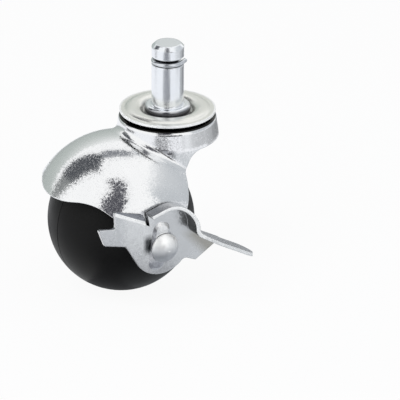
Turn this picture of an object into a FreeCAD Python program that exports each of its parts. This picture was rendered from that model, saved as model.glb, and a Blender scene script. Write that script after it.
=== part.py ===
# Hooded ball castor with a grip-ring stem and a side brake lever.
# Millimetres. The origin is on the swivel axis, at the shoulder where the stem leaves its flange.
# +Z runs up the stem, +X points to the open front of the hood, and the ball trails behind on -X.
import FreeCAD, Part
import math
import os

# Driving dimensions: where the ball hangs
ball_dia = 50.0
trail = 18.3            # ball centre behind the swivel axis
ball_drop = 38.2        # ball centre below the shoulder

# Driving dimensions: stem
stem_dia = 11.0
stem_length = 22.0
tip_chamfer = 1.2
flange_dia = 15.7
flange_thick = 3.0
flange_round = 1.3
flange_fillet = 0.5     # stem to flange
ring_groove_drop = 4.7  # stem tip to the top of the ring's groove
ring_groove_width = 2.6
ring_groove_depth = 1.7
ring_wire = 1.5
ring_proud = 0.15       # how far the ring stands out of the stem
ring_end_reach = 0.9    # how far its free end springs out
ring_end_angle = -30.0
ring_flick = 40.0       # angle over which that end leaves the groove
ring_split = 55.0       # angle left open between the ends
ring_lift = 0.1         # ring above the groove's lower wall
shank_dia = 9.0
spigot_dia = 7.0
peen_dia = 10.4
peen_height = 1.8
peen_round = 1.4

# Driving dimensions: swivel bearing
disc_dia = 32.6
disc_sheet = 0.8
disc_rim_rise = 1.3     # the disc's rim above its seat
rim_gap = 1.0           # rim to the hood's collar
seat_gap = 0.5          # disc's seat to the hood
seat_land = 0.95        # disc's seat out past the stem's flange
upper_ball_dia = 2.5
upper_ball_count = 20
lower_ball_dia = 3.0
lower_pitch_dia = 16.0
lower_ball_count = 12
lower_gap = 2.0
lower_race_thick = 1.6
lower_race_dia = 20.6
race_clear = 0.1
race_flat = 2.8         # width of the pressed race's floor
race_inner_run = 1.6    # run of its slope towards the stem
race_outer_run = 1.0
race_bend = 1.9

# Driving dimensions: hood pressing
hood_sheet = 1.5
hood_gap = 4.35         # ball to the inside of the dome, on average
dome_back = 0.5         # dome's centre behind the axle
dome_drop = 0.4         # dome's centre below the axle
ear_span = 49.0         # inside width between the two flat ears
ear_blend = 10.5        # inside radius from ear to dome
neck_dia = 34.8
collar_dia = 33.2       # neck at the collar's top edge
collar_height = 7.0     # collar's top edge to where the neck runs straight
collar_round = 1.9
neck_round = 12.0
crease_round = 2.2      # outside radius where neck and dome meet
shank_clear = 0.3

# Driving dimensions: axle and ball
axle_dia = 6.0
sleeve_dia = 8.0
rivet_head_dia = 10.2
far_head_height = 2.4
near_head_height = 3.2
head_rim = 0.6          # straight side of both rivet heads
axle_clear = 0.05
ball_clear = 0.1
hub_dia = 12.0
hub_end_gap = 0.4
ball_side_gap = 1.3     # ball's side flats to the ears
ball_wall = 3.6
seam_bevel = 0.2
rib_count = 6
rib_thick = 1.6
register_height = 1.5
register_thick = 1.2
register_inset = 0.2    # register's inner side out from the ball's inner wall
register_clear = 0.1

# Driving dimensions: brake lever
lever_sheet = 1.2
lever_gap = 0.3         # lever to the ear
pivot_clear = 0.1
lever_head_gap = 0.15
boss_height = 0.8
boss_length = 17.5
boss_width = 6.6
boss_slope = 1.1
boss_tilt = 9.0
pedal_width = 9.0       # how far the flange stands out along the pedal
pedal_inset = 0.9       # pedal's inner side out from the lever's face
pedal_round = 4.0
arch_width = 3.4        # how far the flange stands out at the arch's rear foot
arch_bend = 0.9         # outside radius between the web and the flange
lip_lean = 18.0         # angle that the lip folds in towards the hood
hood_clear = 0.6        # lip to the hood

# Derived sizes
ball_radius = ball_dia / 2
ball_centre = FreeCAD.Vector(-trail, 0, -ball_drop)
dome_centre = ball_centre - FreeCAD.Vector(dome_back, 0, dome_drop)
dome_inside = ball_radius + hood_gap
dome_outside = dome_inside + hood_sheet
ear_inside = ear_span / 2
ear_outside = ear_inside + hood_sheet
ball_flat = ear_inside - ball_side_gap
seat_top = -flange_thick
seat_under = seat_top - disc_sheet
rim_under = seat_under + disc_rim_rise
collar_top = rim_under - rim_gap
upper_ball_z = (rim_under + collar_top) / 2
upper_ball_reach = upper_ball_dia / 2 + race_clear
upper_pitch = flange_dia / 2 + seat_land + race_inner_run + race_flat / 2
plate_top = seat_under - seat_gap
plate_under = plate_top - hood_sheet
lower_ball_z = plate_under - lower_gap / 2
lower_ball_reach = lower_ball_dia / 2 + race_clear
lower_pitch = lower_pitch_dia / 2
lower_race_top = plate_under - lower_gap
lower_race_under = lower_race_top - lower_race_thick
lever_back = ear_outside + lever_gap
lever_face = lever_back + lever_sheet
rivet_seat = lever_face + boss_height + lever_head_gap

# Side outlines about the axle, as (x, z, corner radius)
hood_side = [
    (-60, 2.4, 0), (-21.3, 16.7, 6), (-12.6, 9.0, 12), (3.0, -19.2, 7.8), (10.3, 10.0, 12),
    (18.0, 27.0, 5.5), (60, 27.6, 0), (60, 70, 0), (-60, 70, 0)]
lever_foot = (-6.2, 13.8, 0)
lever_shoulder = (11.0, 18.4, 9.5)
lever_knee = (11.0, 4.6, 2.3)
pedal_tip = (31.8, -7.1, 0)
pedal_root_x = 21.0
lever_tail = [(20.4, -3.4, 1.0), (12.8, -7.9, 0.6), (8.3, -5.9, 2.0)]
lever_lobe = (-2.7, -16.6, 11.2)
lever_tab = [(-14.4, 3.3, 0.8), (-22.6, 5.5, 0.6), (-25.0, 11.8, 0.6), (-18.3, 10.6, 1.0)]
lever_slit = (-5.2, 8.7, 0)
lip = [(-18.6, 15.4, 0), (-6.4, 9.3, 0), (-7.3, 13.2, 0.6), (-18.2, 16.9, 0.6)]
boss_middle = (-1.6, 0.6)


def vector(x, y, z):
    return FreeCAD.Vector(x, y, z)


def on_side(offset):
    """Places an outline's (x, z) in the plane y = offset, about the axle."""
    return lambda u, v: ball_centre + vector(u, offset, v)


def on_radius(u, v):
    """Places a turned section's (radius, z) about the swivel axis."""
    return vector(u, 0, v)


def on_plan(level):
    """Places an outline's (x, y) at one height about the axle."""
    return lambda u, v: ball_centre + vector(u, v, level)


def rounded_edges(corners, place):
    """Closed run of straight edges between the corners, each corner rounded by its own radius."""
    count = len(corners)
    points = [vector(u, v, 0) for u, v, _ in corners]
    entries = list(points)
    exits = list(points)
    arcs = [None] * count
    for i in range(count):
        radius = corners[i][2]
        back = (points[i - 1] - points[i]).normalize()
        ahead = (points[(i + 1) % count] - points[i]).normalize()
        half = back.getAngle(ahead) / 2
        if radius == 0 or near(half, math.pi / 2):
            continue
        entries[i] = points[i] + back * (radius / math.tan(half))
        exits[i] = points[i] + ahead * (radius / math.tan(half))
        crown = points[i] + (back + ahead).normalize() * (radius / math.sin(half) - radius)
        arcs[i] = Part.Arc(*[place(p.x, p.y) for p in (entries[i], crown, exits[i])]).toShape()
    edges = []
    for i in range(count):
        following = (i + 1) % count
        if arcs[i]:
            edges.append(arcs[i])
        if exits[i].distanceToPoint(entries[following]) > 1e-6:
            start = place(exits[i].x, exits[i].y)
            edges.append(Part.makeLine(start, place(entries[following].x, entries[following].y)))
    return edges


def rounded_wire(corners, place):
    return Part.Wire(rounded_edges(corners, place))


def rounded_face(corners, place):
    return Part.Face(rounded_wire(corners, place))


def parallel(path, distance):
    """The open path shifted to its right by a distance, with corner radii that keep it parallel."""
    points = [vector(u, v, 0) for u, v, _ in path]
    ways = [(b - a).normalize() for a, b in zip(points, points[1:])]
    rights = [vector(way.y, -way.x, 0) for way in ways]
    shifted = [points[0] + rights[0] * distance]
    radii = [0]
    for i in range(1, len(points) - 1):
        mitre = (rights[i - 1] + rights[i]).normalize()
        shifted.append(points[i] + mitre * (distance / mitre.dot(rights[i])))
        turn = math.copysign(1, ways[i - 1].cross(ways[i]).z)
        radii.append(path[i][2] + distance * turn)
    shifted.append(points[-1] + rights[-1] * distance)
    radii.append(0)
    return [(p.x, p.y, radius) for p, radius in zip(shifted, radii)]


def sheet_face(path, thickness, place):
    """Section of a sheet that follows an open path, lying on the right of the path."""
    return rounded_face(path + parallel(path, thickness)[::-1], place)


def turned(face):
    return face.revolve(vector(0, 0, 0), vector(0, 0, 1), 360)


def along_axle(radius, start, length):
    """Cylinder about the axle, from y = start towards +Y."""
    return Part.makeCylinder(radius, length, ball_centre + vector(0, start, 0), vector(0, 1, 0))


def edges_where(shape, test):
    """The edges whose two ends and middle all pass a test."""
    found = []
    for edge in shape.Edges:
        span = edge.LastParameter - edge.FirstParameter
        samples = [edge.valueAt(edge.FirstParameter + span * share) for share in (0.02, 0.5, 0.98)]
        if all(test(point) for point in samples):
            found.append(edge)
    return found


def near(a, b):
    return abs(a - b) < 0.01


# Stem: one turned piece, from the chamfered tip down to the end peened under the lower race
def stem():
    radius = stem_dia / 2
    groove_root = radius - ring_groove_depth
    groove_top = stem_length - ring_groove_drop
    groove_foot = groove_top - ring_groove_width
    peen_end = lower_race_under - peen_height
    section = [
        (0, stem_length, 0), (radius - tip_chamfer, stem_length, 0.4),
        (radius, stem_length - tip_chamfer, 0.5), (radius, groove_top, 0.2),
        (groove_root, groove_top, 0), (groove_root, groove_foot, 0), (radius, groove_foot, 0.2),
        (radius, 0, flange_fillet), (flange_dia / 2, 0, flange_round), (flange_dia / 2, seat_top, 0.2),
        (shank_dia / 2, seat_top, 0), (shank_dia / 2, lower_race_top, 0),
        (spigot_dia / 2, lower_race_top, 0), (spigot_dia / 2, lower_race_under, 0),
        (peen_dia / 2, lower_race_under, 0), (peen_dia / 2, peen_end, peen_round),
        (0, peen_end, 0)]
    return turned(rounded_face(section, on_radius))


# Grip ring: split ring of round spring wire in the stem's groove, with one end sprung out
def grip_ring():
    middle = stem_dia / 2 + ring_proud - ring_wire / 2
    groove_foot = stem_length - ring_groove_drop - ring_groove_width
    level = groove_foot + ring_wire / 2 + ring_lift
    start = math.radians(ring_end_angle + ring_split)
    bend = math.radians(ring_end_angle + 360 - ring_flick)
    end = math.radians(ring_end_angle + 360)

    def at(angle, reach=0.0):
        return vector((middle + reach) * math.cos(angle), (middle + reach) * math.sin(angle), level)

    def way(angle):
        return vector(-math.sin(angle), math.cos(angle), 0)

    chord = at(end, ring_end_reach) - at(bend)
    rise = chord.Length / 2 * math.tan(way(bend).getAngle(chord) / 2)
    crown = at(bend) + chord * 0.5 + vector(chord.y, -chord.x, 0).normalize() * rise
    hoop = Part.Arc(at(start), at((start + bend) / 2), at(bend)).toShape()
    flick = Part.Arc(at(bend), crown, at(end, ring_end_reach)).toShape()
    section = Part.Wire(Part.makeCircle(ring_wire / 2, at(start), way(start)))
    return Part.Wire([hoop, flick]).makePipeShell([section], True, False)


# Top disc: pressed washer seated under the stem's flange, with a raised race for the upper balls
def race_path(inner_radius, seat, floor, rim, outer_radius):
    """Path from the inner edge, over the race's floor, to the outer edge."""
    inner_side = upper_pitch - race_flat / 2
    outer_side = upper_pitch + race_flat / 2
    return [
        (inner_radius, seat, 0), (inner_side - race_inner_run, seat, race_bend),
        (inner_side, floor, race_bend), (outer_side, floor, race_bend),
        (outer_side + race_outer_run, rim, race_bend), (outer_radius, rim, 0)]


def top_disc():
    crown = upper_ball_z + upper_ball_reach
    under = race_path(shank_dia / 2 + axle_clear, seat_under, crown, rim_under, disc_dia / 2)
    return turned(sheet_face(parallel(under, -disc_sheet), disc_sheet, on_radius))


# Bearing balls: a ring of loose steel balls
def bearing_balls(diameter, pitch, level, count):
    balls = []
    for i in range(count):
        angle = 2 * math.pi * i / count
        centre = vector(pitch * math.cos(angle), pitch * math.sin(angle), level)
        balls.append(Part.makeSphere(diameter / 2, centre))
    return Part.Compound(balls)


def upper_bearing_balls():
    return bearing_balls(upper_ball_dia, upper_pitch, upper_ball_z, upper_ball_count)


def lower_bearing_balls():
    return bearing_balls(lower_ball_dia, lower_pitch, lower_ball_z, lower_ball_count)


def lower_groove():
    """The ring-shaped space that the lower balls run in, cut into the hood and the lower race."""
    return Part.makeTorus(lower_pitch, lower_ball_reach, vector(0, 0, lower_ball_z))


# Lower race: washer held up under the hood by the stem's peened end
def lower_race():
    base = vector(0, 0, lower_race_under)
    washer = Part.makeCylinder(lower_race_dia / 2, lower_race_thick, base)
    hole = Part.makeCylinder(spigot_dia / 2 + axle_clear, lower_race_thick, base)
    return washer.cut(hole).cut(lower_groove())


# Hood: one pressing, a dome over the ball drawn out into two flat ears and an upright neck
def dome(radius, flat, blend):
    """Solid turned about the axle: a ball shape with two flat sides that blend into it."""
    blend_out = math.sqrt((radius - blend) ** 2 - (flat - blend) ** 2)
    lean = math.atan2(flat - blend, blend_out)

    def blend_point(angle, side):
        across = side * (flat - blend + blend * math.sin(angle))
        return dome_centre + vector(blend_out + blend * math.cos(angle), across, 0)

    def half(side):
        pole = dome_centre + vector(0, side * flat, 0)
        angles = [math.pi / 2, (math.pi / 2 + lean) / 2, lean]
        arc = Part.Arc(*[blend_point(angle, side) for angle in angles]).toShape()
        return [Part.makeLine(pole, blend_point(math.pi / 2, side)), arc]

    crown = Part.Arc(
        blend_point(lean, -1), dome_centre + vector(radius, 0, 0), blend_point(lean, 1)).toShape()
    spine = Part.makeLine(dome_centre + vector(0, flat, 0), dome_centre + vector(0, -flat, 0))
    outline = Part.sortEdges(half(-1) + [crown] + half(1) + [spine])[0]
    return Part.Face(Part.Wire(outline)).revolve(dome_centre, vector(0, 1, 0), 360)


def neck_path():
    floor = upper_ball_z - upper_ball_reach
    foot = -ball_drop + dome_outside / 2
    plate = race_path(0, plate_top, floor, collar_top, collar_dia / 2)[:-1]
    flare = (neck_dia / 2, collar_top - collar_height, neck_round)
    return plate + [(collar_dia / 2, collar_top, collar_round), flare, (neck_dia / 2, foot, 0)]


def neck(path):
    foot = path[-1][1]
    return turned(rounded_face(path + [(0, foot, 0)], on_radius))


def hood():
    outside = dome(dome_outside, ear_outside, ear_blend + hood_sheet).fuse(neck(neck_path()))
    inside = dome(dome_inside, ear_inside, ear_blend).fuse(neck(parallel(neck_path(), hood_sheet)))
    reach = 2 * dome_outside
    trim = rounded_face(hood_side, on_side(-reach)).extrude(vector(0, 2 * reach, 0))
    shell = outside.removeSplitter().cut(inside.removeSplitter()).common(trim)
    stem_hole = Part.makeCylinder(shank_dia / 2 + shank_clear, ball_drop, vector(0, 0, -ball_drop / 2))
    axle_hole = along_axle(axle_dia / 2 + axle_clear, -reach, 2 * reach)
    shell = shell.cut([stem_hole, lower_groove(), axle_hole]).removeSplitter()

    def on_crease(dome_radius, inset):
        def test(point):
            off_swivel = math.hypot(point.x, point.y) + inset
            on_neck = collar_dia / 2 - collar_round < off_swivel < neck_dia / 2 + 0.01
            return on_neck and near(point.distanceToPoint(dome_centre), dome_radius)
        return test

    outer_crease = edges_where(shell, on_crease(dome_outside, 0))
    shell = shell.makeFillet(crease_round, outer_crease)
    inner_crease = edges_where(shell, on_crease(dome_inside, hood_sheet))
    return shell.makeFillet(crease_round + hood_sheet, inner_crease)


# Axle: steel rivet through both ears, with a low head on the far ear and a tall one over the lever
def rivet_head(height):
    """A domed head standing on the plane z = 0."""
    radius = rivet_head_dia / 2
    rise = height - head_rim
    crown_radius = (radius ** 2 + rise ** 2) / (2 * rise)
    lean = math.asin(radius / crown_radius) / 2
    crown = vector(crown_radius * math.sin(lean), 0, height - crown_radius * (1 - math.cos(lean)))
    outline = [
        Part.makeLine(vector(0, 0, 0), vector(radius, 0, 0)),
        Part.makeLine(vector(radius, 0, 0), vector(radius, 0, head_rim)),
        Part.Arc(vector(radius, 0, head_rim), crown, vector(0, 0, height)).toShape(),
        Part.makeLine(vector(0, 0, height), vector(0, 0, 0))]
    return turned(Part.Face(Part.Wire(outline)))


def facing(shape, side):
    """Turns a shape built about +Z to look along -Y (side -1) or +Y (side 1)."""
    turned_shape = shape.copy()
    turned_shape.rotate(vector(0, 0, 0), vector(1, 0, 0), -90 * side)
    return turned_shape


def axle():
    far_head = facing(rivet_head(far_head_height), 1)
    far_head.translate(ball_centre + vector(0, ear_outside, 0))
    near_head = facing(rivet_head(near_head_height), -1)
    near_head.translate(ball_centre + vector(0, -rivet_seat, 0))
    shaft = along_axle(axle_dia / 2, -rivet_seat, rivet_seat + ear_outside)
    return shaft.fuse([far_head, near_head])


# Axle sleeve: steel tube clamped between the ears, on which the ball runs
def axle_sleeve():
    outer = along_axle(sleeve_dia / 2, -ear_inside, ear_span)
    return outer.cut(along_axle(axle_dia / 2 + axle_clear, -ear_inside, ear_span))


# Ball: two hollow moulded halves that meet at a seam square to the axle
def flat_sided_ball(radius, flat):
    """Half ball standing on z = 0, cut off flat at a height."""
    return Part.makeSphere(radius).common(Part.makeCylinder(radius, flat))


def half_ball():
    """One half about +Z, its seam on z = 0, with a hub and ribs from the hub to the wall."""
    inner_radius = ball_radius - ball_wall
    outer = flat_sided_ball(ball_radius, ball_flat)
    outer = outer.makeChamfer(seam_bevel, edges_where(outer, lambda point: near(point.z, 0)))
    body = outer.cut(flat_sided_ball(inner_radius, ball_flat - ball_wall))
    rib_reach = Part.makeSphere(inner_radius + ball_wall / 2)
    rib_foot = vector(hub_dia / 2 - rib_thick, -rib_thick / 2, 0)
    ribs = []
    for i in range(rib_count):
        rib = Part.makeBox(inner_radius, rib_thick, ball_flat - ball_wall / 2, rib_foot)
        rib.rotate(vector(0, 0, 0), vector(0, 0, 1), 360 * i / rib_count)
        ribs.append(rib.common(rib_reach))
    hub = Part.makeCylinder(hub_dia / 2, ear_inside - hub_end_gap)
    bore = Part.makeCylinder(sleeve_dia / 2 + ball_clear, ear_inside)
    return body.fuse([hub] + ribs).cut(bore).removeSplitter()


def register(clearance):
    """Ring that locates one half in the other, standing up from the seam, grown by a clearance."""
    inner_radius = ball_radius - ball_wall
    height = register_height + clearance
    outer = Part.makeCylinder(inner_radius + register_thick + clearance, height)
    return outer.cut(Part.makeCylinder(inner_radius + register_inset - clearance, height))


def near_half_ball():
    half = facing(half_ball().cut(register(register_clear)), -1)
    half.translate(ball_centre)
    return half


def far_half_ball():
    spigot = register(0)
    spigot.translate(vector(0, 0, -register_height))
    half = facing(half_ball().fuse(spigot).removeSplitter(), 1)
    half.translate(ball_centre)
    return half


# Brake lever: one pressing on the near end of the axle, with a pivot boss, a lip over the hood's edge
# and a flange that arches over the pivot and runs out as the pedal
def boss(at_y, way, spread):
    """Tapered obround, widened by a spread, rising from y = at_y in the given way."""
    wires = []
    for level, growth in ((0, 0), (boss_height, -boss_slope)):
        half_length = boss_length / 2 + spread + growth
        half_width = boss_width / 2 + spread + growth
        corners = [
            (side * half_width, end * half_length, half_width)
            for side, end in ((-1, -1), (1, -1), (1, 1), (-1, 1))]
        wires.append(rounded_wire(corners, lambda u, v: vector(u, at_y + way * level, v)))
    shape = Part.makeLoft(wires, True)
    shape.rotate(vector(0, 0, 0), vector(0, 1, 0), boss_tilt)
    shape.translate(ball_centre + vector(boss_middle[0], 0, boss_middle[1]))
    return shape


def pedal_flange():
    """The outward flange: a strip over the arch, round the knee and out along the pedal."""
    path = [lever_foot, lever_shoulder, lever_knee, pedal_tip]
    outer_side = -lever_face - pedal_width
    inner_side = -lever_face - pedal_inset
    band = sheet_face(path, lever_sheet, on_side(-lever_back))
    strip = band.extrude(vector(0, outer_side + lever_back, 0))
    plan = [
        (lever_foot[0], -lever_back, 0), (pedal_root_x, -lever_back, 0),
        (pedal_root_x + pedal_inset, inner_side, pedal_inset), (pedal_tip[0], inner_side, pedal_round),
        (pedal_tip[0], outer_side, pedal_round), (pedal_root_x - pedal_round, outer_side, pedal_width),
        (lever_shoulder[0] / 2, -lever_face - arch_width, 2 * pedal_width),
        (lever_foot[0], -lever_face - arch_width, 0)]
    trim = rounded_face(plan, on_plan(-dome_outside)).extrude(vector(0, 0, 2 * dome_outside))
    return strip.common(trim)


def folded_lip():
    """The wing's top edge, folded in towards the hood about the line where it leaves the web."""
    plate = rounded_face(lip, on_side(-lever_face)).extrude(vector(0, lever_sheet, 0))
    hinge = vector(lip[1][0] - lip[0][0], 0, lip[1][1] - lip[0][1])
    plate.rotate(on_side(-lever_face)(lip[0][0], lip[0][1]), hinge, -lip_lean)
    return plate


def brake_lever():
    slope = (pedal_tip[1] - lever_knee[1]) / (pedal_tip[0] - lever_knee[0])
    pedal_root = (pedal_root_x, lever_knee[1] + slope * (pedal_root_x - lever_knee[0]), 0)
    outline = [lever_foot, lever_shoulder, lever_knee, pedal_root]
    outline += lever_tail + [lever_lobe] + lever_tab + lip[:2] + [lever_slit]
    web = rounded_face(outline, on_side(-lever_back)).extrude(vector(0, -lever_sheet, 0))
    body = web.fuse(pedal_flange()).removeSplitter()

    fold = Part.Wire(rounded_edges(outline, on_side(-lever_back))[:5])

    def on_fold(point):
        return near(point.y, -lever_back) and fold.distToShape(Part.Vertex(point))[0] < 0.01

    body = body.makeFillet(arch_bend, edges_where(body, on_fold))
    body = body.fuse([folded_lip(), boss(-lever_face, -1, 0)])
    hood_space = dome(dome_outside + hood_clear, ear_outside + lever_gap / 2, ear_blend + hood_sheet)
    pivot = along_axle(axle_dia / 2 + pivot_clear, -2 * lever_face, 2 * lever_face)
    return body.cut([boss(-lever_back, -1, -boss_slope / 2), hood_space, pivot]).removeSplitter()


os.makedirs("parts", exist_ok=True)
pieces = [
    stem, grip_ring, top_disc, upper_bearing_balls, lower_bearing_balls, lower_race, hood,
    axle, axle_sleeve, near_half_ball, far_half_ball, brake_lever]
for piece in pieces:
    piece().exportStep("parts/" + piece.__name__ + ".step")
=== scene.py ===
import math

import bpy
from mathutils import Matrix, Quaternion, Vector


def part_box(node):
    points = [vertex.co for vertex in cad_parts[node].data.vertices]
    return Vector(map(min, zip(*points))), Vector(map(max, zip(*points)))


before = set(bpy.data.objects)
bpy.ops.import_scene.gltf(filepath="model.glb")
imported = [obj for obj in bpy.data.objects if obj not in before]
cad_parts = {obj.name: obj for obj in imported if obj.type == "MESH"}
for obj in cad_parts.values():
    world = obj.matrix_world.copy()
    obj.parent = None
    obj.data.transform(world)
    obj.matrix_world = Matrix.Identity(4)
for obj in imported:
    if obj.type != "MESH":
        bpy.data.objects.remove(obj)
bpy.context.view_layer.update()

# Stem
# A steel pin turned with a round flange, bright zinc plated.
# It is pushed into the furniture leg, and its lower end is peened over to hold the swivel together.
mm = 0.001


class Shade:
    """A socket in a node tree. Sums, products and comparisons of shades add Math nodes to the tree."""

    def __init__(self, tree, socket=None):
        self.tree = tree
        self.socket = socket

    def node(self, kind, settings, sockets, out=0):
        """Adds a node with its settings, then its sockets' values or links, and gives one output."""
        made = self.tree.nodes.new(kind)
        for name, value in settings.items():
            setattr(made, name, value)
        for name, value in sockets.items():
            if isinstance(value, Shade):
                self.tree.links.new(value.socket, made.inputs[name])
            else:
                made.inputs[name].default_value = value
        return Shade(self.tree, made.outputs[out] if made.outputs else None)

    def __add__(self, other):
        return self.node("ShaderNodeMath", {"operation": "ADD"}, {0: self, 1: other})

    def __radd__(self, other):
        return self.node("ShaderNodeMath", {"operation": "ADD"}, {0: other, 1: self})

    def __sub__(self, other):
        return self.node("ShaderNodeMath", {"operation": "SUBTRACT"}, {0: self, 1: other})

    def __rsub__(self, other):
        return self.node("ShaderNodeMath", {"operation": "SUBTRACT"}, {0: other, 1: self})

    def __mul__(self, other):
        return self.node("ShaderNodeMath", {"operation": "MULTIPLY"}, {0: self, 1: other})

    def __rmul__(self, other):
        return self.node("ShaderNodeMath", {"operation": "MULTIPLY"}, {0: other, 1: self})

    def __lt__(self, other):
        return self.node("ShaderNodeMath", {"operation": "LESS_THAN"}, {0: self, 1: other})

    def __gt__(self, other):
        return self.node("ShaderNodeMath", {"operation": "GREATER_THAN"}, {0: self, 1: other})

    def __abs__(self):
        return self.node("ShaderNodeMath", {"operation": "ABSOLUTE"}, {0: self})


def new_material(name):
    """A material with an empty node tree, and the place on its piece, in metres."""
    material = bpy.data.materials.new(name)
    material.use_nodes = True
    material.node_tree.nodes.clear()
    return material, Shade(material.node_tree).node("ShaderNodeTexCoord", {}, {}, "Object")


def covered(surface):
    """Ends a material with its surface."""
    surface.node("ShaderNodeOutputMaterial", {}, {"Surface": surface})


def noise(place, size, detail=2.0):
    """Soft random mottle from 0 to 1, with features of about a size in metres."""
    return place.node("ShaderNodeTexNoise", {}, {"Vector": place, "Scale": 1 / size, "Detail": detail})


def mixed(share, first, second):
    """A colour between two colours, which are a Mix node's inputs 6 and 7 and its output 2."""
    return share.node("ShaderNodeMix", {"data_type": "RGBA"}, {"Factor": share, 6: first, 7: second}, 2)


def vectors(operation, *values, out=0):
    """A Vector Math node on places or directions."""
    return values[0].node("ShaderNodeVectorMath", {"operation": operation}, dict(enumerate(values)), out)


def part_of(vector, axis):
    """One axis of a place or a direction."""
    return vector.node("ShaderNodeSeparateXYZ", {}, {"Vector": vector}, axis)


def ramp(value, start, end):
    """0 at the start, 1 at the end and a straight slope between them."""
    return value.node("ShaderNodeMapRange", {}, {"Value": value, "From Min": start, "From Max": end})


cloud_size = 6 * mm       # of the plate's mottle
gloss_spread = 0.5        # how much the mottle changes the roughness
corner_shade_reach = 4 * mm     # how near a corner the painted shade reaches
corner_shade_tint = (0.10, 0.10, 0.105)
open_unshaded = 2 / 3       # share of open space around a place that leaves it without painted shade
smooth_run = 8 * mm       # height over which the grains get flatter
smooth_tilt = 0.25        # share of their tilt that is left then


def plated(name, colour, dull, roughness, tilt, grain_size,
           edge=0.25 * mm, smooth_above=1.0, dull_grains=0.0):
    """Zinc plate, cloudy between two tints, with painted shade in its corners, soft edges and tilted grains.

    Above a height the grains lie flatter, and dull_grains makes some of them rougher. Gives the material,
    the place on it and its Principled node, so that a piece can add its own marks."""
    material, place = new_material(name)
    cloud = noise(place, cloud_size)
    clean = mixed(cloud, (*dull, 1), (*colour, 1))
    # Painted shade: places with little open space around them darken, in corners and hollows.
    openness = place.node("ShaderNodeAmbientOcclusion", {"samples": 8}, {"Distance": corner_shade_reach}, "AO")
    tint = mixed(ramp(openness, 0.0, open_unshaded), (*corner_shade_tint, 1), clean)
    grains = place.node("ShaderNodeTexVoronoi", {}, {"Vector": place, "Scale": 1 / grain_size}, "Color")
    gloss = roughness * (1 - gloss_spread / 2 + gloss_spread * cloud)
    if dull_grains:
        gloss = gloss + dull_grains * part_of(grains, "X") * part_of(grains, "Y")
    low_down = ramp(part_of(place, "Z"), smooth_above, smooth_above - smooth_run)
    lean = tilt * (smooth_tilt + (1 - smooth_tilt) * low_down)
    leaning = vectors("SUBTRACT", grains, (0.5, 0.5, 0.5))
    leaning = place.node("ShaderNodeVectorMath", {"operation": "SCALE"}, {0: leaning, "Scale": lean})
    rounded = place.node("ShaderNodeBevel", {"samples": 6}, {"Radius": edge}, "Normal")
    facing = vectors("NORMALIZE", vectors("ADD", rounded, leaning))
    surface = place.node("ShaderNodeBsdfPrincipled", {}, {
        "Base Color": tint, "Metallic": 1.0, "Roughness": gloss, "Normal": facing})
    covered(surface)
    return material, place, surface.socket.node


def toned(place, surface, mask, colour):
    """Gives a metal another colour where the mask is 1."""
    before = Shade(place.tree, surface.inputs["Base Color"].links[0].from_socket)
    after = mixed(mask, before, (*colour, 1))
    place.tree.links.new(after.socket, surface.inputs["Base Color"])


def from_axis(place):
    """Distance from the swivel's axis."""
    return vectors("LENGTH", vectors("MULTIPLY", place, (1, 1, 0)), out="Value")


def dress(material, *names):
    """Gives CAD nodes a material."""
    for name in names:
        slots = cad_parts[name].data.materials
        slots.clear()
        slots.append(material)


stem_zinc, stem_place, stem_surface = plated(
    "stem zinc", colour=(0.93, 0.95, 0.97), dull=(0.86, 0.89, 0.93), roughness=0.18, tilt=0.02,
    grain_size=0.4 * mm, edge=0.6 * mm)
# Painted shade on the flange's lower side, next to the disc.
flange_inside = 6.9 * mm  # radius that the flange's rounding starts near
foot_high = -0.1 * mm     # heights between which the flange's painted shade fades in
foot_low = -0.9 * mm
foot_shade_tint = (0.12, 0.12, 0.13)
flange_foot_shade = (from_axis(stem_place) > flange_inside) * ramp(part_of(stem_place, "Z"), foot_high, foot_low)
toned(stem_place, stem_surface, flange_foot_shade, foot_shade_tint)
dress(stem_zinc, "stem")

# Grip ring
# A split ring of round spring wire, zinc plated, snapped into the stem's groove.
# One end springs out past the stem to grip the socket.
wire_zinc, _, _ = plated(
    "wire zinc", colour=(0.80, 0.82, 0.85), dull=(0.66, 0.69, 0.73), roughness=0.22, tilt=0.02,
    grain_size=0.4 * mm)
dress(wire_zinc, "grip_ring")

# Top disc
# A pressed steel washer, zinc plated and left duller than the rest, clamped under the stem's flange.
# Its underside is the upper half of the ball race and is dark with grease and painted shade, and its rim has
# a painted highlight.
disc_zinc, disc_place, disc_surface = plated(
    "disc zinc", colour=(0.93, 0.93, 0.89), dull=(0.86, 0.86, 0.82), roughness=0.31, tilt=0.06,
    grain_size=0.45 * mm)
# Near black: grease in the races, darkened further as painted shade in the gaps between the parts.
grease_and_gap_shade = (0.025, 0.025, 0.023)
underside = -0.3          # a face that points lower than this is part of the race
rim_width = 0.5 * mm
rim_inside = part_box("top_disc")[1].x - rim_width
highlight_tint = (0.97, 0.98, 0.98)
highlight_matt = 0.6         # share of the mirror that the painted highlight replaces


def outward(place, axis):
    """How far the surface faces along an axis of the frame, from -1 to 1."""
    return part_of(place.node("ShaderNodeTexCoord", {}, {}, "Normal"), axis)


def painted_highlight(place, surface, mask):
    """Paints a highlight: a metal turns pale and less mirror-like where the mask is 1."""
    toned(place, surface, mask, highlight_tint)
    place.tree.links.new((1 - highlight_matt * mask).socket, surface.inputs["Metallic"])


# The rim's pale band is a painted highlight.
disc_rim_highlight = (from_axis(disc_place) > rim_inside) * (outward(disc_place, "Z") > underside)
toned(disc_place, disc_surface, outward(disc_place, "Z") < underside, grease_and_gap_shade)
painted_highlight(disc_place, disc_surface, disc_rim_highlight)
dress(disc_zinc, "top_disc")

# Bearing balls
# Two rings of loose steel balls, ground and polished.
# They are packed in grease between the disc, the hood and the lower race.
ball_steel, _, _ = plated(
    "bearing steel", colour=(0.30, 0.30, 0.30), dull=(0.16, 0.16, 0.15), roughness=0.25, tilt=0.01,
    grain_size=0.3 * mm)
dress(ball_steel, "upper_bearing_balls", "lower_bearing_balls")
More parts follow.
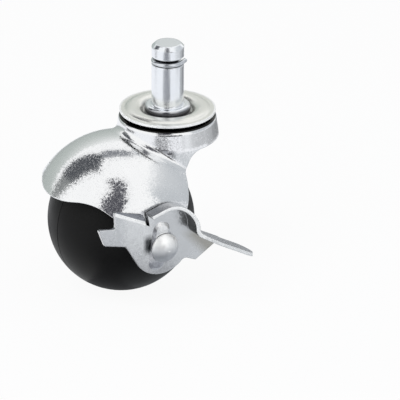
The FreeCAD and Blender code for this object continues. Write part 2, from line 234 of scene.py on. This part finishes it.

# Lower race
# A plain steel washer, zinc plated, with grease and painted shade in the groove of its upper side.
# The stem's peened end holds it up under the hood.
race_zinc, race_place, race_surface = plated(
    "race zinc", colour=(0.70, 0.70, 0.68), dull=(0.55, 0.55, 0.53), roughness=0.35, tilt=0.04,
    grain_size=0.4 * mm)
upper_side = 0.3          # a face that points higher than this is on the upper side
toned(race_place, race_surface, outward(race_place, "Z") > upper_side, grease_and_gap_shade)
dress(race_zinc, "lower_race")

# Hood
# One deep-drawn steel pressing, bright zinc plated, with a fine grain that shows in its dark reflections.
# The race pressed into its top is dark with grease and painted shade, and the ball and the lever are riveted
# through its ears.
hood_zinc, hood_place, hood_surface = plated(
    "hood zinc", colour=(0.94, 0.945, 0.95), dull=(0.88, 0.89, 0.90), roughness=0.09, tilt=0.07,
    grain_size=0.36 * mm, edge=0.3 * mm, smooth_above=-7 * mm, dull_grains=0.25)
race_depth = 1.2 * mm
race_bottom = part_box("hood")[1].z - race_depth
race_slope = 0.6          # a face that points higher than this is in the race, not on its outer edge
in_race = (part_of(hood_place, "Z") > race_bottom) * (outward(hood_place, "Z") > race_slope)
toned(hood_place, hood_surface, in_race, grease_and_gap_shade)
dress(hood_zinc, "hood")

# Axle and sleeve
# A steel rivet through both ears, satin zinc plated, with a domed head on each side that has painted shade
# on its lower side.
# The sleeve is a plain tube around it, clamped between the ears.
rivet_zinc, rivet_place, rivet_surface = plated(
    "rivet zinc", colour=(1.0, 1.0, 0.99), dull=(0.96, 0.97, 0.97), roughness=0.30, tilt=0.02,
    grain_size=0.5 * mm)
rivet_mirror = 0.45       # satin plate is only part mirror
# Painted shade on the lower side of the rivet's heads.
rivet_shade_tint = (0.40, 0.42, 0.45)
rivet_shade_share = ramp(outward(rivet_place, "Z"), 0.5, -0.3)
rivet_surface.inputs["Metallic"].default_value = rivet_mirror
toned(rivet_place, rivet_surface, rivet_shade_share, rivet_shade_tint)
dress(rivet_zinc, "axle", "axle_sleeve")

# Ball
# Two hollow black plastic mouldings with a fine satin texture.
# They are joined at a seam square to the axle, and turn on the sleeve.
ball_black, ball_place = new_material("ball black")
mottle_size = 4 * mm
pore_size = 0.35 * mm
pore_detail = 4.0
pore_depth = 0.006 * mm
ball_mottle = noise(ball_place, mottle_size)
ball_bump = ball_place.node("ShaderNodeBump", {}, {
    "Strength": 1.0, "Distance": pore_depth, "Height": noise(ball_place, pore_size, pore_detail)})
covered(ball_place.node("ShaderNodeBsdfPrincipled", {}, {
    "Base Color": mixed(ball_mottle, (0.003, 0.003, 0.003, 1), (0.006, 0.006, 0.006, 1)),
    "Roughness": 0.36 + 0.12 * ball_mottle, "Specular IOR Level": 0.14, "Normal": ball_bump}))
dress(ball_black, "near_half_ball", "far_half_ball")

# Brake lever
# One steel pressing, satin zinc plated, pivoting on the axle's near end under the rivet's tall head.
# Its flange arches over the pivot and runs out as the pedal. Painted shade and painted light lie on its web,
# flange and boss, and painted highlights lie on its sheared edges, fold and crown.
lever_zinc, lever_place, lever_surface = plated(
    "lever zinc", colour=(0.87, 0.875, 0.885), dull=(0.77, 0.775, 0.785), roughness=0.26, tilt=0.08,
    grain_size=0.5 * mm, edge=0.55 * mm)

# How a place lies to the pivot, how far it stands out of the web's face, and which way it faces.
# The painted shades, painted light and painted highlights below lie or fade between such places.
pedal_width = 9 * mm
web_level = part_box("brake_lever")[0].y + pedal_width
pivot = (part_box("near_half_ball")[0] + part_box("near_half_ball")[1]) / 2
from_pivot = vectors("SUBTRACT", lever_place, tuple(pivot))
along = part_of(from_pivot, "X")
height = part_of(from_pivot, "Z")
proud = web_level - part_of(lever_place, "Y")
sideways = outward(lever_place, "X")
nearwards = 0 - outward(lever_place, "Y")
upwards = outward(lever_place, "Z")
near_side = nearwards > 0.2
square_on = nearwards > 0.6
raised = proud > 0.1 * mm

# The web has painted shade towards the pedal's root and painted light behind the boss.
web = square_on * (proud < 0.3 * mm)
root_slope = 0.9
web_root_shade = web * ramp(along + root_slope * height, 9 * mm, 13.5 * mm) * ramp(height, 4.5 * mm, 1.5 * mm)
web_rear_light = web * ramp(along, -3 * mm, -6 * mm) * ramp(along, -17 * mm, -13 * mm)

# The flange has painted shade on top of the arch and inside it, and lighter painted shade along the pedal.
pedal_start = 13 * mm
on_top = upwards > 0.6
arch_top_shade = on_top * ramp(along, 5 * mm, -3 * mm)
pedal_top_shade = on_top * (along > pedal_start)
inward = vectors("NORMALIZE", vectors("MULTIPLY", from_pivot, (-1, 0, -1)))
lever_facing = lever_place.node("ShaderNodeTexCoord", {}, {}, "Normal")
inside = vectors("DOT_PRODUCT", inward, lever_facing, out="Value") > 0.35
arch_inside_shade = inside * ramp(along, pedal_start, 10 * mm)

# The boss has painted shade on its left flank and at its foot, and a dark painted shadow beside it.
boss_flank_shade = (sideways < -0.25) * near_side * (along > -7 * mm) * (along < 1 * mm)
boss_flank_shade = boss_flank_shade * ramp(height, -5 * mm, -2 * mm)
boss_rise = 1.2 * mm
boss_foot_shade = raised * (proud < boss_rise) * ramp(height, -3 * mm, -5 * mm)
shadow_along = -5.7 * mm
shadow_height = 2 * mm
boss_shadow = near_side * ramp(abs(along - shadow_along), 2.2 * mm, 0.7 * mm)
boss_shadow = boss_shadow * ramp(abs(height - shadow_height), 4 * mm, 1.5 * mm)

# The lip is folded back along the rear and has painted shade. Its fold, the flange's near edge and the
# boss's crown have painted highlights.
shaded_lip = (upwards > 0.12) * square_on * (along < -5 * mm)
fold_highlight = shaded_lip * (proud > -0.35 * mm)
pedal_highlight_fade = 0.4          # the painted highlight on the edge is weaker along the pedal, by this share
near_edge_highlight = (nearwards > 0.3) * (proud > 1.5 * mm) * (1 - pedal_highlight_fade * ramp(along, 12 * mm, 15 * mm))
crown_highlight = raised * ramp(height, 4.5 * mm, 7 * mm) * (height < 11 * mm)
crown_highlight = crown_highlight * ramp(abs(along), 3.2 * mm, 1.2 * mm)


def either(first, second):
    """The greater of two masks."""
    return first.node("ShaderNodeMath", {"operation": "MAXIMUM"}, {0: first, 1: second})


# Painted shade and painted light on the lever: each mask with its tint.
lever_painted_light = [
    (web_root_shade, (0.54, 0.52, 0.48)), (web_rear_light, (0.99, 0.99, 0.99)),
    (arch_top_shade, (0.22, 0.23, 0.25)), (pedal_top_shade, (0.44, 0.45, 0.48)), (arch_inside_shade, (0.08, 0.083, 0.08)),
    (boss_flank_shade, (0.62, 0.63, 0.65)), (boss_shadow, (0.10, 0.105, 0.11)), (boss_foot_shade, (0.60, 0.61, 0.65)),
    (shaded_lip, (0.34, 0.35, 0.38))]
for mask, tint in lever_painted_light:
    toned(lever_place, lever_surface, mask, tint)
# Painted highlights on the fold, the flange's near edge and the boss's crown.
painted_highlight(lever_place, lever_surface, either(either(fold_highlight, near_edge_highlight), crown_highlight))
dress(lever_zinc, "brake_lever")

# Floor
# A wide sheet of pale paper that the ball stands on.
# It is nearly white to the camera and keeps a faint shadow.
floor_level = min(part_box("near_half_ball")[0].z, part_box("far_half_ball")[0].z)
floor_reach = 3.0
paper_mottle = 90 * mm
paper_glow = 0.93         # share of plain white that the camera sees


def stage_mesh(name, corners, faces, material):
    """A piece of the studio: a mesh that isn't part of the castor."""
    mesh = bpy.data.meshes.new(name)
    mesh.from_pydata(corners, [], faces)
    made = bpy.data.objects.new(name, mesh)
    bpy.context.scene.collection.objects.link(made)
    made.data.materials.append(material)
    return made


def square(reach):
    """The four corners of a level square."""
    return [(-reach, -reach), (reach, -reach), (reach, reach), (-reach, reach)]


paper, paper_place = new_material("floor paper")
paper_tone = mixed(noise(paper_place, paper_mottle), (0.74, 0.75, 0.77, 1), (0.77, 0.78, 0.80, 1))
paper_lit = paper_place.node("ShaderNodeBsdfDiffuse", {}, {"Color": paper_tone})
paper_white = paper_place.node("ShaderNodeEmission", {}, {"Color": (1, 1, 1, 1), "Strength": 1.0})
seen = paper_place.node("ShaderNodeLightPath", {}, {}, "Is Camera Ray")
covered(seen.node("ShaderNodeMixShader", {}, {0: paper_glow * seen, 1: paper_lit, 2: paper_white}))
stage_mesh("floor", [(x, y, floor_level) for x, y in square(floor_reach)], [(0, 1, 2, 3)], paper)

# Studio
# White all round, with a soft lamp over the camera's left shoulder and a weaker one on the right.
# Grey and dark cards, which only reflections see, give the plate its contrast.
view_azimuth = math.radians(30.7)
toward_camera = Vector((-math.sin(view_azimuth), -math.cos(view_azimuth), 0))
to_right = Vector((math.cos(view_azimuth), -math.sin(view_azimuth), 0))
upward = Vector((0, 0, 1))
ball_centre = Vector((pivot.x, 0, pivot.z))


def card(name, colour, corners, faces, fade=0.0):
    """A card that stays out of the picture and out of the light: only shiny surfaces show it.

    It can fade to white towards its top."""
    material, place = new_material(name)
    rise = part_of(place.node("ShaderNodeTexCoord", {}, {}, "Generated"), "Z")
    tone = mixed(fade * rise * rise, (*colour, 1), (1, 1, 1, 1))
    covered(place.node("ShaderNodeEmission", {}, {"Color": tone, "Strength": 1.0}))
    made = stage_mesh(name, corners, faces, material)
    made.visible_camera = False
    made.visible_diffuse = False
    made.visible_shadow = False
    made.visible_transmission = False


def flag(name, colour, outline, above=1.5):
    """A flat card hung over the castor, above the ball's centre by a height in metres.

    Unit rays (right, near) from the ball meet it at its corners."""
    corners = []
    for right, near in outline:
        rise = math.sqrt(1 - right * right - near * near)
        ray = to_right * right + toward_camera * near + upward * rise
        corners.append(ball_centre + ray * above / rise)
    card(name, colour, corners, [tuple(range(len(corners)))])


flag("left flag", (0.085, 0.09, 0.10), [
    (-0.78, -0.45), (-0.66, -0.55), (-0.50, -0.56), (-0.34, -0.49), (-0.26, -0.42), (-0.30, -0.22),
    (-0.38, 0.02), (-0.52, -0.07), (-0.78, -0.06)])
flag("left flag's end", (0.24, 0.25, 0.25), [(-0.78, -0.45), (-0.78, -0.06), (-0.95, -0.12), (-0.93, -0.33)])
flag("left flag's tail", (0.22, 0.23, 0.25), [(-0.28, -0.51), (0.18, -0.47), (0.22, -0.33), (-0.28, -0.29)])
flag("front flag", (0.09, 0.09, 0.105), [
    (-0.27, 0.26), (0.0, 0.28), (0.12, 0.33), (0.14, 0.92), (-0.30, 0.90), (-0.42, 0.72),
    (-0.30, 0.59), (-0.15, 0.55), (-0.17, 0.38)])


def wall(name, colour, outline, fade=0.0, distance=2.5):
    """An upright card that stands on the floor, at a distance in metres.

    Unit rays (right, near) from the ball meet its top edge."""
    corners = []
    for right, near in outline:
        reach = math.hypot(right, near)
        rise = math.sqrt(1 - reach * reach)
        foot = ball_centre + (to_right * right + toward_camera * near) * distance / reach
        corners += [foot + upward * distance * rise / reach, Vector((foot.x, foot.y, floor_level))]
    faces = [(i, i + 1, i + 3, i + 2) for i in range(0, len(corners) - 2, 2)]
    card(name, colour, corners, faces, fade)


wall("back wall", (0.46, 0.50, 0.48), [
    (0.0, -0.76), (-0.20, -0.74), (-0.40, -0.73), (-0.50, -0.70), (-0.62, -0.65), (-0.75, -0.57),
    (-0.85, -0.46), (-0.93, -0.32)], fade=0.9)
wall("back wall's right half", (0.58, 0.60, 0.58), [(0.45, -0.74), (0.30, -0.77), (0.0, -0.76)], fade=0.9)
wall("right wall", (0.53, 0.555, 0.58), [
    (0.60, -0.50), (0.62, -0.20), (0.62, 0.0), (0.62, 0.20), (0.66, 0.35), (0.75, 0.45)], fade=0.45)
wall("right wall's soft edge", (0.66, 0.68, 0.70), [
    (0.52, -0.50), (0.50, -0.20), (0.50, 0.0), (0.50, 0.20), (0.56, 0.36), (0.70, 0.47)],
    fade=1.0, distance=2.6)
wall("near wall", (0.05, 0.05, 0.055), [
    (-0.366, 0.907), (-0.17, 0.963), (0.085, 0.974), (0.334, 0.919), (0.518, 0.829)])


def floor_card(name, colour, outline, lift=1 * mm):
    """A flat card lying on the floor, with corners given as (right, near) from the ball, in metres."""
    base = Vector((ball_centre.x, ball_centre.y, floor_level + lift))
    corners = [base + to_right * right + toward_camera * near for right, near in outline]
    card(name, colour, corners, [tuple(range(len(corners)))])


def turned(reach, degrees):
    """The place at a distance and a bearing from the ball, as (right, near)."""
    return reach * math.cos(math.radians(degrees)), reach * math.sin(math.radians(degrees))


white_reach = 2.9
floor_card("white floor", (0.93, 0.94, 0.97), square(white_reach), lift=0.5 * mm)
floor_card("right floor", (0.575, 0.60, 0.625), [
    (0.0, 0.02), (0.02, 0.135), (0.10, 0.11), (0.145, 0.04), (0.145, -0.05), (0.05, -0.06)])
floor_card("back floor", (0.42, 0.45, 0.44), [
    (-2.2, -1.0), (-0.4, -0.12), (0.3, -0.32), (2.4, -1.3), (0.0, -2.9)])
floor_card("near strip", (0.36, 0.37, 0.40), [(-0.08, 0.12), (0.06, 0.12), (0.07, 0.20), (-0.10, 0.20)])
floor_card("far strip", (0.05, 0.05, 0.055), [(-0.17, 0.42), (0.24, 0.38), (1.3, 2.05), (-0.93, 2.3)])
floor_card("wedge", (0.03, 0.03, 0.035), [(-0.04, 0.195), (0.03, 0.195), (0.01, 0.285), (-0.16, 0.28)])
floor_card("wedge's foot", (0.03, 0.03, 0.035), [
    (0.02, 0.10), (0.05, 0.11), (0.04, 0.14), (0.0, 0.135)], lift=1.5 * mm)
floor_card("collar's left", (0.08, 0.08, 0.085), [
    (-0.20, 0.02), (-0.26, 0.05), (-0.36, -0.06), (-0.34, -0.12), (-0.19, -0.05)])
floor_card("ball's shade", (0.30, 0.31, 0.33), [
    (-0.02, 0.03), (0.045, 0.03), (0.05, 0.058), (-0.02, 0.06)], lift=1.5 * mm)
floor_card("ball's left", (0.93, 0.94, 0.95), [
    (-0.06, -0.03), (-0.012, -0.02), (-0.014, 0.03), (-0.06, 0.05)], lift=0.8 * mm)
floor_card("pedal's shade", (0.30, 0.31, 0.32), [
    (0.02, -0.07), (0.085, -0.07), (0.085, -0.14), (0.02, -0.14)])
# A dark ring of card round the ball stands in for its shade on the floor, as reflections see it.
ring_reach = 0.085
ring_shift = 0.015
ring = [turned(ring_reach, degrees) for degrees in range(0, 360, 45)]
floor_card("shade round the ball", (0.35, 0.36, 0.38), [
    (right + ring_shift, near) for right, near in ring], lift=0.7 * mm)

# Cool grey cards fanned out on the right, each with its first bearing, its tone and where it starts
right_fan = [
    (56, 0.70, 0.235), (48, 0.80, 0.235), (40, 0.68, 0.235), (33, 0.58, 0.21), (25, 0.53, 0.21),
    (10, 0.50, 0.21), (-6, 0.48, 0.16), (-15, 0.44, 0.16), (-26, 0.32, 0.16), (-40, 0.26, 0.16)]
fan_end = -60
fan_reach = 0.5
cool_grey = (1.0, 1.02, 1.05)
last_bearings = [first for first, _, _ in right_fan[1:]] + [fan_end]
for (first, tone, start), last in zip(right_fan, last_bearings):
    floor_card("right fan at %d" % first, [tone * share for share in cool_grey], [
        turned(start, first), turned(fan_reach, first), turned(fan_reach, last), turned(start, last)])


def soft_lamp(name, place, size, power):
    """A square lamp at a place from the ball, turned to it. Reflections don't show it."""
    lamp = bpy.data.lights.new(name, "AREA")
    lamp.shape = "SQUARE"
    lamp.size = size
    lamp.energy = power
    made = bpy.data.objects.new(name, lamp)
    made.location = ball_centre + place
    made.rotation_euler = (-place).to_track_quat("-Z", "Y").to_euler()
    made.visible_glossy = False
    bpy.context.scene.collection.objects.link(made)


soft_lamp("key lamp", 0.7 * toward_camera - 0.6 * to_right + 1.0 * upward, size=0.8, power=9.0)
soft_lamp("fill lamp", 0.4 * toward_camera + 0.9 * to_right + 0.5 * upward, size=0.8, power=3.0)

# The sky is full white to the camera and in reflections, and dimmer as a light.
world = bpy.data.worlds.new("white studio")
world.use_nodes = True
world.node_tree.nodes.clear()
sky = Shade(world.node_tree)
camera_ray = sky.node("ShaderNodeLightPath", {}, {}, "Is Camera Ray")
glossy_ray = sky.node("ShaderNodeLightPath", {}, {}, "Is Glossy Ray")
through_ray = sky.node("ShaderNodeLightPath", {}, {}, "Is Transmission Ray")
sky_light = 0.55          # strength of the sky as a light
sky_strength = sky_light + (1 - sky_light) * either(either(camera_ray, glossy_ray), through_ray)
white = sky.node("ShaderNodeBackground", {}, {"Color": (1, 1, 1, 1), "Strength": sky_strength})
white.node("ShaderNodeOutputWorld", {}, {"Surface": white})
bpy.context.scene.world = world
bpy.context.scene.view_settings.view_transform = "Standard"

# Camera
# A long lens on the lever's side of the castor, a little to the rear, looking down on it.
# It is aimed right of the ball and rolled a little, which gives the photograph's view.
view_elevation = math.radians(24.9)
view_roll = math.radians(0.6)
eye_distance = 1.2
aim_right = 26.88 * mm
aim_up = 5.73 * mm
to_eye = toward_camera * math.cos(view_elevation) + upward * math.sin(view_elevation)
picture_up = upward * math.cos(view_elevation) - toward_camera * math.sin(view_elevation)
aim = ball_centre + aim_right * to_right + aim_up * picture_up
lens = bpy.data.cameras.new("camera")
lens.sensor_width = 36.0  # millimetres, as the lens
lens.lens = 317.2
camera = bpy.data.objects.new("camera", lens)
camera.location = ball_centre + eye_distance * to_eye
level_view = (aim - camera.location).to_track_quat("-Z", "Y")
camera.rotation_euler = (level_view @ Quaternion((0, 0, 1), view_roll)).to_euler()
bpy.context.scene.collection.objects.link(camera)
bpy.context.scene.camera = camera
